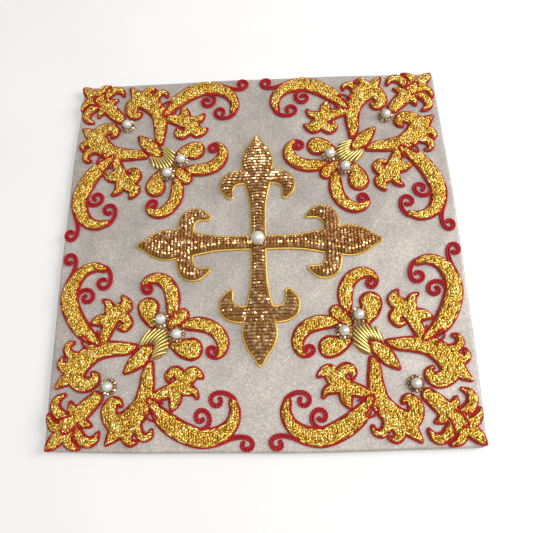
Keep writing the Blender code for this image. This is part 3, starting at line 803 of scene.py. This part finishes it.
def make_cloth(material):
    """The stiffened square: an uneven face, a rolled edge and a plain underside."""
    rng = np.random.default_rng(5)
    east, north, west, south = cloth_outline()
    span = 2 * CORNER_REACH
    middle_count = round((span - 2 * EDGE_RINGS[-1]) / CLOTH_STEP)
    middle = np.linspace(EDGE_RINGS[-1], span - EDGE_RINGS[-1], middle_count + 1)[1:-1]
    insets = np.concatenate([EDGE_RINGS, middle, span - np.array(EDGE_RINGS[::-1])])
    shares = insets / span
    count = len(shares)

    def along(side):
        places = run_lengths(side) / run_lengths(side)[-1]
        return np.stack([np.interp(shares, places, side[:, c]) for c in range(2)], 1)

    e, n, w, s = along(east), along(north)[::-1], along(west)[::-1], along(south)
    a = shares[:, None, None]
    b = shares[None, :, None]
    grid = (1 - b) * s[:, None] + b * n[:, None] + (1 - a) * w[None] + a * e[None]
    grid -= (1 - a) * (1 - b) * s[0] + a * (1 - b) * s[-1] + (1 - a) * b * n[0] + a * b * n[-1]
    inset = np.minimum(insets, span - insets)

    def edge_distance(rounding):
        short = np.clip(rounding - inset, 0, None)
        return rounding - np.hypot(short[:, None], short[None, :])

    points = grid.reshape(-1, 2)
    over = np.clip(edge_distance(TOP_ROUNDING), 0, TOP_ROUNDING)
    top = CLOTH - TOP_ROUNDING + np.sqrt(TOP_ROUNDING**2 - (TOP_ROUNDING - over) ** 2)
    fade = np.clip((edge_distance(6.0) - 1.0) / 5.0, 0, 1).ravel()
    top = top.ravel() + CLOTH_RELIEF * fade * unevenness(points, rng)
    under = np.clip(edge_distance(UNDER_ROUNDING), 0, UNDER_ROUNDING)
    bottom = UNDER_ROUNDING - np.sqrt(UNDER_ROUNDING**2 - (UNDER_ROUNDING - under) ** 2)
    index = np.arange(count * count).reshape(count, count)
    quads = np.stack([index[:-1, :-1], index[1:, :-1], index[1:, 1:], index[:-1, 1:]], 2).reshape(-1, 4)
    rim = np.concatenate([index[:, 0], index[-1, 1:], index[-2::-1, -1], index[0, -2:0:-1]])
    shift = count * count
    wall = np.stack([rim, rim + shift, np.roll(rim, -1) + shift, np.roll(rim, -1)], 1)
    pile = Pile()
    vertices = np.vstack([np.column_stack([points, top]), np.column_stack([points, bottom.ravel()])])
    faces = quads.tolist() + (quads[:, ::-1] + shift).tolist() + wall.tolist()
    pile.add(vertices, faces, 0.5)
    cloth = pile.object("cloth", [material], True)
    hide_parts("panel")


def placer(corner, mirrored):
    """A function that puts points of the north-east spray into a corner, as the hand did."""
    angle, east, north, seed = CORNERS[corner]
    rng = np.random.default_rng(seed)
    phases = rng.uniform(0, 2 * math.pi, 4)
    turn = math.radians(angle)

    def place(points):
        u, v, z = np.asarray(points, float).T
        if mirrored:
            u, v = v, u
        moved_u = u + WOBBLE * (np.sin(v / 7.1 + phases[0]) + 0.5 * np.sin(u / 4.3 + phases[1]))
        moved_v = v + WOBBLE * (np.sin(u / 6.3 + phases[2]) + 0.5 * np.sin(v / 4.9 + phases[3]))
        x = moved_u * math.cos(turn) - moved_v * math.sin(turn) + east
        y = moved_u * math.sin(turn) + moved_v * math.cos(turn) + north
        return np.column_stack([x, y, z])

    return place


def north_of(corner, mirrored):
    """The angle in a spray's own frame that points north on the pall."""
    turn = math.radians(CORNERS[corner][0])
    return turn if mirrored else math.pi / 2 - turn


def laid_cord(pile, path, place, radius, height, closed=True):
    """Adds a red cord along a path of (u, v) places with its middle at a height above the cloth."""
    path = resampled(softened(np.asarray(path, float), 3, closed), CORD_STEP, closed)
    spot = place(np.column_stack([path, CLOTH + np.broadcast_to(height, len(path))]))
    add_twisted_cord(pile, spot, radius, RED_PITCH, 2, 8, closed)


def make_goldwork(name, shape, corner, mirrored, materials, seed):
    """One padded piece of a spray: its padding and the chips over it."""
    place = placer(corner, mirrored)
    pile = Pile()
    add_padding(pile, shape, place)
    add_chips(pile, shape, place, north_of(corner, mirrored), np.random.default_rng(seed), slot=1)
    gold = pile.object(f"{name}_{corner}_goldwork", [materials["felt"], materials["chips"]], True, mirrored)
    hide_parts(f"{name}_{corner}")


def make_red_cord(corner, corded, materials):
    """All the red cord of a corner: outlines, partings and free curls."""
    pile = Pile()
    for outlined, sides, arches, lines, curls in corded:
        for mirrored in sides:
            place = placer(corner, mirrored)
            for level, shape in outlined:
                for loop in shape.loops(level):
                    laid_cord(pile, loop, place, RED_RADIUS, RED_HEIGHT)
        for mirrored in (False, True):
            place = placer(corner, mirrored)
            for line in curls:
                laid_cord(pile, doubled(line, CURL_REACH), place, CURL_RADIUS, CURL_RADIUS)
            for line in lines if mirrored else arches + lines:
                path = smooth_line(line, 0.3)
                laid = resampled(softened(path, 3, False), CORD_STEP)
                height = outlined[0][1].height(laid) + LINE_LIFT
                laid_cord(pile, path, place, RED_RADIUS, height, False)
    cord = pile.object(f"red_cord_{corner}", [materials["red"]], True)


def make_knot(corner, materials):
    """The knot: a curved pad crossed by bright rods that lie side by side, fanning round it."""
    place = placer(corner, False)
    shape = Shape([KNOT], KNOT_RELIEF)
    pile = Pile()
    add_padding(pile, shape, place, 0.7)
    end, inner = np.array(KNOT[0]), np.array(KNOT[1])
    tip = end + (end - inner) * [0.4, 0.4, 0.3]
    line = smooth_line([tip, *KNOT, (tip[1], tip[0], tip[2])], 0.1)
    places = run_lengths(line[:, :2])
    lying = np.radians(KNOT_SLANT[0] + (KNOT_SLANT[1] - KNOT_SLANT[0]) * places / places[-1])
    runs = np.gradient(line[:, :2], axis=0)
    crossing = np.abs(np.sin(lying - np.arctan2(runs[:, 1], runs[:, 0])))
    width = np.concatenate([[0.0], np.cumsum(np.diff(places) * (crossing[1:] + crossing[:-1]) / 2)])
    count = round(width[-1] / ROD_SPACING)
    sides = 8
    around = 2 * math.pi * np.arange(sides) / sides
    scan = np.arange(-6, 6, 0.1)
    for k in range(count):
        at = np.interp((k + 0.5) / count * width[-1], width, np.arange(len(line)))
        u, v, half = (np.interp(at, np.arange(len(line)), line[:, c]) for c in range(3))
        angle = np.interp(at, np.arange(len(line)), lying)
        ahead = np.array([math.cos(angle), math.sin(angle)])
        inside = shape.depth(np.array([u, v]) + scan[:, None] * ahead) > -0.5
        first, last = next(run for run in runs_of(inside, scan) if run[0] <= 0.1 and run[1] >= -0.1)
        q = np.linspace(-1, 1, 13)
        spots = np.array([u, v]) + ((first + last) / 2 + (last - first) / 2 * q)[:, None] * ahead
        spots += np.outer(ROD_BEND * (1 - q**2), [ahead[1], -ahead[0]])
        lift = (shape.crown * math.sqrt(half / KNOT[3][2]) + 0.3) * np.sqrt(np.clip(1 - q**2, 0, 1)) + 0.3
        path = place(np.column_stack([spots, CLOTH + lift]))
        radii = ROD_RADIUS * np.sqrt(np.clip(1.06 - q**6, 0.05, 1))[:, None] * np.ones(sides)
        vertices = tube(path, radii, np.broadcast_to(around, radii.shape))
        # Painted light and shade: a rod's colour is lightest along its top and darkest on its lower half.
        painted_top_light = np.tile(np.clip(np.sin(around), 0, 1) ** 2, len(path))
        pile.add(vertices, tube_faces(len(path), sides, False), painted_top_light, 1)
    knot = pile.object(f"knot_{corner}_rods", [materials["brown"], materials["satin"]], True)
    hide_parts(f"knot_{corner}")


def make_beads(corner, materials):
    """The pearls of a corner and the rings of small beads round them."""
    rng = np.random.default_rng(CORNERS[corner][3] + 100)
    place = placer(corner, False)
    for name, (u, v, lift) in PEARLS.items():
        x, y, z = place([(u, v, CLOTH + lift)])[0]
        ring = Pile()
        for k in range(RING_BEADS):
            angle = 2 * math.pi * (k + rng.uniform(-0.12, 0.12)) / RING_BEADS
            out = RING_RADIUS + rng.uniform(-0.08, 0.08)
            size = BEAD_RADIUS * rng.uniform(0.9, 1.06)
            centre = (x + out * math.cos(angle), y + out * math.sin(angle), z + size + rng.uniform(0, 0.12))
            axis = (-math.sin(angle), math.cos(angle), rng.uniform(-0.3, 0.3))
            add_ball(ring, centre, axis, size, 7, 5, 0.85, 0.35, rng.uniform(0, 1))
        beads = ring.object(f"seed_beads_{name}_{corner}", [materials["bead"]], False)
        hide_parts(f"bead_ring_{name}_{corner}")
        bead = Pile()
        tilt = (rng.uniform(-1, 1), rng.uniform(-1, 1), 0.25)
        if (corner, name) == ("sw", "right"):
            tilt = (0.02, -0.12, 1.0)
        add_ball(bead, (x, y, z + PEARL_RADIUS + 0.12), tilt, PEARL_RADIUS, 32, 22, 0.97, 0.2)
        pearl = bead.object(f"pearl_{name}_{corner}_bead", [materials["pearl"]], True)
        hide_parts(f"pearl_{name}_{corner}")


def runs_of(inside, values):
    """First and last value of each unbroken run where inside holds."""
    edges = np.flatnonzero(np.diff(np.concatenate([[0], inside.astype(int), [0]])))
    return [(values[a], values[b - 1]) for a, b in zip(edges[::2], edges[1::2])]


def make_cross(materials):
    """The cross: padding, rows of purl across every arm, the cord round it and its pearl."""
    arm = (CROSS_ARM, CROSS_BULB, CROSS_HOOK, [(-u, v, w) for u, v, w in CROSS_HOOK])
    strokes = [turned(rows, q) for q in range(4) for rows in arm]
    shape = Shape(strokes, CROSS_RELIEF)
    rng = np.random.default_rng(77)
    pile = Pile()
    add_padding(pile, shape, lambda points: points)
    sides = PURL_SIDES
    scan = np.arange(-54, 54, 0.1)
    for across in (0, 1):
        for row in np.arange(-37, 38) * PURL_SPACING:
            points = np.zeros((len(scan), 2))
            points[:, across] = scan
            points[:, 1 - across] = row
            inside = (shape.depth(points) > PURL_INSET) & (np.abs(scan) <= abs(row) + 0.2)
            for first, last in runs_of(inside, scan):
                if last - first < PURL_SHORTEST:
                    continue
                beads = max(1, round((last - first) / PURL_BEAD))
                ends = np.linspace(first, last, beads + 1)
                step = (last - first) / beads
                rings = [e + step * np.array(PURL_PLACES) for e in ends[:-1]]
                along = np.concatenate([ends[:1], *rings])
                count = len(along)
                spots = np.zeros((count, 2))
                spots[:, across] = along
                spots[:, 1 - across] = row + np.repeat(rng.normal(0, 0.05, beads + 1), 3)[2:]
                path = np.column_stack([spots, CLOTH + shape.height(spots) + PURL_RADIUS * 0.6])
                swell = np.concatenate([[PURL_NECK], np.tile([1.0, 1.0, PURL_NECK], beads)])
                size = np.repeat(rng.uniform(0.92, 1.05, beads + 1), 3)[2:]
                radii = (PURL_RADIUS * swell * size)[:, None] * np.ones(sides)
                roll = rng.normal(PURL_ROLLS[across], PURL_ROLL_SPREADS[across], beads + 1)
                turns = 2 * math.pi * np.arange(sides) / sides + np.repeat(roll, 3)[2:, None]
                tones = np.repeat(np.repeat(rng.uniform(0, 1, beads + 1), 3)[2:], sides)
                pile.add(tube(path, radii, turns), tube_faces(count, sides, False), tones, 1)
    pad = pile.object("cross_purl_rows", [materials["brown"], materials["purl"]], False)
    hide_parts("cross_pad")

    edge = Pile()
    for loop in shape.loops(GOLD_CORD_RADIUS - 0.02):
        path = resampled(softened(loop, 3), 0.28, True)
        path = np.column_stack([path, np.full(len(path), CLOTH + GOLD_CORD_RADIUS - 0.04)])
        add_twisted_cord(edge, path, GOLD_CORD_RADIUS, GOLD_CORD_PITCH, 3, 9, True, 0.06)
    cord = edge.object("cross_gold_cord", [materials["cord"]], True)
    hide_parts("cross_cord")

    bead = Pile()
    add_ball(bead, (0, 0, CROSS_PEARL_HEIGHT), (0.9, 0.35, 0.1), CROSS_PEARL_RADIUS, 48, 32, 0.97, 0.13)
    pearl = bead.object("cross_pearl_bead", [materials["pearl"]], True)
    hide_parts("cross_pearl")


def make_camera():
    """The photograph's view: steeply down from the south, close by, turned a little."""
    data = bpy.data.cameras.new("camera")
    data.sensor_fit = "HORIZONTAL"
    data.sensor_width = 36.0
    data.lens = 34.94
    data.shift_x = 0.0302
    data.clip_start = 0.01
    camera = bpy.data.objects.new("camera", data)
    look = Vector((-0.0457, 0.3238, -0.9450)).normalized()
    right = look.cross(Vector((0.0262, 0.9460, 0.3230))).normalized()
    turn = Matrix((right, right.cross(look), -look)).transposed()
    camera.matrix_world = Matrix.Translation(Vector((6.56, -82.52, 212.39)) * MM) @ turn.to_4x4()
    bpy.context.scene.collection.objects.link(camera)
    bpy.context.scene.camera = camera


def add_light(name, direction, distance, size, power, colour=(1, 1, 1)):
    """A soft square light that faces the pall from a direction."""
    data = bpy.data.lights.new(name, "AREA")
    data.size = size
    data.energy = power
    data.color = colour
    light = bpy.data.objects.new(name, data)
    towards = Vector(direction).normalized()
    light.location = towards * distance
    light.rotation_euler = towards.to_track_quat("Z", "Y").to_euler()
    bpy.context.scene.collection.objects.link(light)


def make_studio():
    """A pale floor, a large window light from the east and soft light from above."""
    size = 3.0
    mesh = bpy.data.meshes.new("floor")
    corners = [(-size, -size, 0), (size, -size, 0), (size, size, 0), (-size, size, 0)]
    mesh.from_pydata(corners, [], [(0, 1, 2, 3)])
    mesh.materials.append(studio_floor())
    floor = bpy.data.objects.new("floor", mesh)
    bpy.context.scene.collection.objects.link(floor)
    world = bpy.data.worlds.new("studio")
    world.use_nodes = True
    world.node_tree.nodes["Background"].inputs["Color"].default_value = (1.0, 0.98, 0.95, 1.0)
    world.node_tree.nodes["Background"].inputs["Strength"].default_value = 0.43
    bpy.context.scene.world = world
    add_light("window", (0.81, 0.13, 0.56), 0.78, 0.46, 4.3, (0.98, 0.99, 1.0))
    add_light("ceiling", (0.08, -0.15, 1.0), 1.0, 0.45, 3.6, (1.0, 0.985, 0.96))
    bpy.context.scene.view_settings.view_transform = "Standard"


def main():
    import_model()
    make_camera()
    make_studio()
    materials = {
        "cloth": lame_cloth(), "felt": gold_felt(), "chips": gold_chip_metal(), "red": red_silk(),
        "purl": copper_purl(), "brown": brown_felt(), "pearl": pearl_lustre(), "bead": seed_bead(),
        # For each gilt thread: the colour of its painted shade, its bright colour, metallic and roughness.
        "cord": bright_gold("gilt_cord", (0.42, 0.22, 0.02), (0.95, 0.62, 0.11), 0.6, 0.25),
        "satin": bright_gold("satin_gilt", (0.26, 0.11, 0.003), (1.0, 0.81, 0.27), 0.78, 0.32),
    }
    make_cloth(materials["cloth"])
    make_cross(materials)
    palmette = Shape([PALMETTE_STALK] + PALMETTE_SIDE + swapped(PALMETTE_SIDE), SPRAY_RELIEF)
    branch = Shape(BRANCH, SPRAY_RELIEF)
    flower = Shape([BUD, HORN] + swapped([HORN]), SPRAY_RELIEF)
    petal = Shape([PETAL], SPRAY_RELIEF)
    leaf = Shape([LEAF], SPRAY_RELIEF)
    nodes = {
        "palmette": (palmette, False), "branch_right": (branch, False), "branch_left": (branch, True),
        "flower": (flower, False), "petal_right": (petal, False), "petal_left": (petal, True),
        "leaf": (leaf, False),
    }
    # Outlined shapes with the cord's level, the sides they are laid on, lines drawn once, lines and
    # curls drawn on both sides
    corded = [
        ([(RED_LEVEL, palmette)], (False,), PALMETTE_ARCH, PALMETTE_LINES, []),
        ([(RED_LEVEL, branch)], (False, True), [], BRANCH_LINES, BRANCH_CURLS),
        ([(RED_LEVEL, flower)], (False,), [], FLOWER_LINES, HORN_CURLS),
        ([(PETAL_RED_LEVEL, petal)], (False, True), [], [], []),
        ([(RED_LEVEL, leaf)], (False,), [], [], []),
    ]
    for corner, (_, _, _, seed) in CORNERS.items():
        for k, (name, (shape, mirrored)) in enumerate(nodes.items()):
            make_goldwork(name, shape, corner, mirrored, materials, seed * 10 + k)
        make_red_cord(corner, corded, materials)
        make_knot(corner, materials)
        make_beads(corner, materials)


main()
